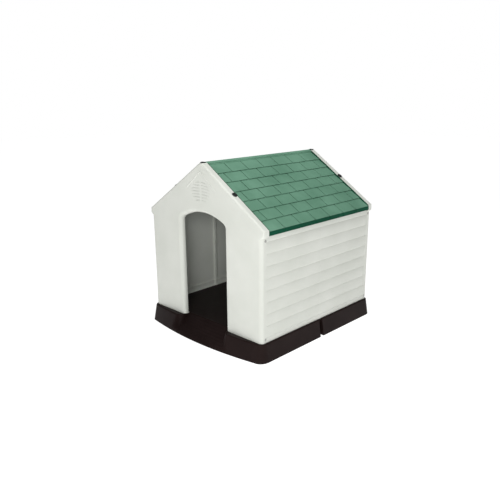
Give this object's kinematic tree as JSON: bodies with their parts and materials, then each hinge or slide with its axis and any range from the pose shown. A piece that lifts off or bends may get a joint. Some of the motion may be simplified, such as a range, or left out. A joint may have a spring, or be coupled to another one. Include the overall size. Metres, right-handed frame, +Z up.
{
  "type": "plastic dog kennel",
  "caption": "Flat-pack plastic animal shelter: gabled house with arched doorway, lap-board walls, shingle-pattern roof, turn locks and a skirted base with a ribbed step",
  "frame": {"origin": "on the ground, under the middle of the bounding box", "axes": "+Z up; the doorway faces -Y; +X is the right-hand side seen from in front of the doorway"},
  "size_m": [0.914, 1.0248, 0.9731],
  "materials": {
    "wall_plastic": "satin",
    "roof_plastic": "satin",
    "base_plastic": "satin",
    "lock_plastic": "satin",
    "screw_steel": "zinc"
  },
  "bodies": {
    "kennel": {"base_front": "base_plastic", "base_rear": "base_plastic", "front_gable_panel": "wall_plastic", "rear_gable_panel": "wall_plastic", "left_wall_front": "wall_plastic", "left_roof_front": "roof_plastic", "front_left_lower_screw": "screw_steel", "front_left_upper_screw": "screw_steel", "left_wall_rear": "wall_plastic", "left_roof_rear": "roof_plastic", "rear_left_lower_screw": "screw_steel", "rear_left_upper_screw": "screw_steel", "left_wall_clip": "wall_plastic", "left_base_clip": "base_plastic", "right_wall_front": "wall_plastic", "right_roof_front": "roof_plastic", "front_right_lower_screw": "screw_steel", "front_right_upper_screw": "screw_steel", "right_wall_rear": "wall_plastic", "right_roof_rear": "roof_plastic", "rear_right_lower_screw": "screw_steel", "rear_right_upper_screw": "screw_steel", "right_wall_clip": "wall_plastic", "right_base_clip": "base_plastic"},
    "front_ridge_lock_body": {"front_ridge_lock": "lock_plastic"},
    "front_left_lock_body": {"front_left_lock": "lock_plastic"},
    "front_right_lock_body": {"front_right_lock": "lock_plastic"},
    "rear_ridge_lock_body": {"rear_ridge_lock": "lock_plastic"},
    "rear_left_lock_body": {"rear_left_lock": "lock_plastic"},
    "rear_right_lock_body": {"rear_right_lock": "lock_plastic"}
  },
  "joints": [
    {"name": "front_ridge_lock_turn", "type": "hinge", "parent": "kennel", "child": "front_ridge_lock_body", "pos_m": [0, -0.4206, 0.96762], "axis": [0, 0, 1], "range_deg": [0, 90]},
    {"name": "front_left_lock_turn", "type": "hinge", "parent": "kennel", "child": "front_left_lock_body", "pos_m": [-0.22332, -0.4161, 0.82745], "axis": [-0.5537, 0, 0.8327], "range_deg": [0, 90]},
    {"name": "front_right_lock_turn", "type": "hinge", "parent": "kennel", "child": "front_right_lock_body", "pos_m": [0.22332, -0.4161, 0.82745], "axis": [0.5537, 0, 0.8327], "range_deg": [0, 90]},
    {"name": "rear_ridge_lock_turn", "type": "hinge", "parent": "kennel", "child": "rear_ridge_lock_body", "pos_m": [0, 0.4684, 0.96762], "axis": [0, 0, 1], "range_deg": [0, 90]},
    {"name": "rear_left_lock_turn", "type": "hinge", "parent": "kennel", "child": "rear_left_lock_body", "pos_m": [-0.22332, 0.4639, 0.82745], "axis": [-0.5537, 0, 0.8327], "range_deg": [0, 90]},
    {"name": "rear_right_lock_turn", "type": "hinge", "parent": "kennel", "child": "rear_right_lock_body", "pos_m": [0.22332, 0.4639, 0.82745], "axis": [0.5537, 0, 0.8327], "range_deg": [0, 90]}
  ]
}
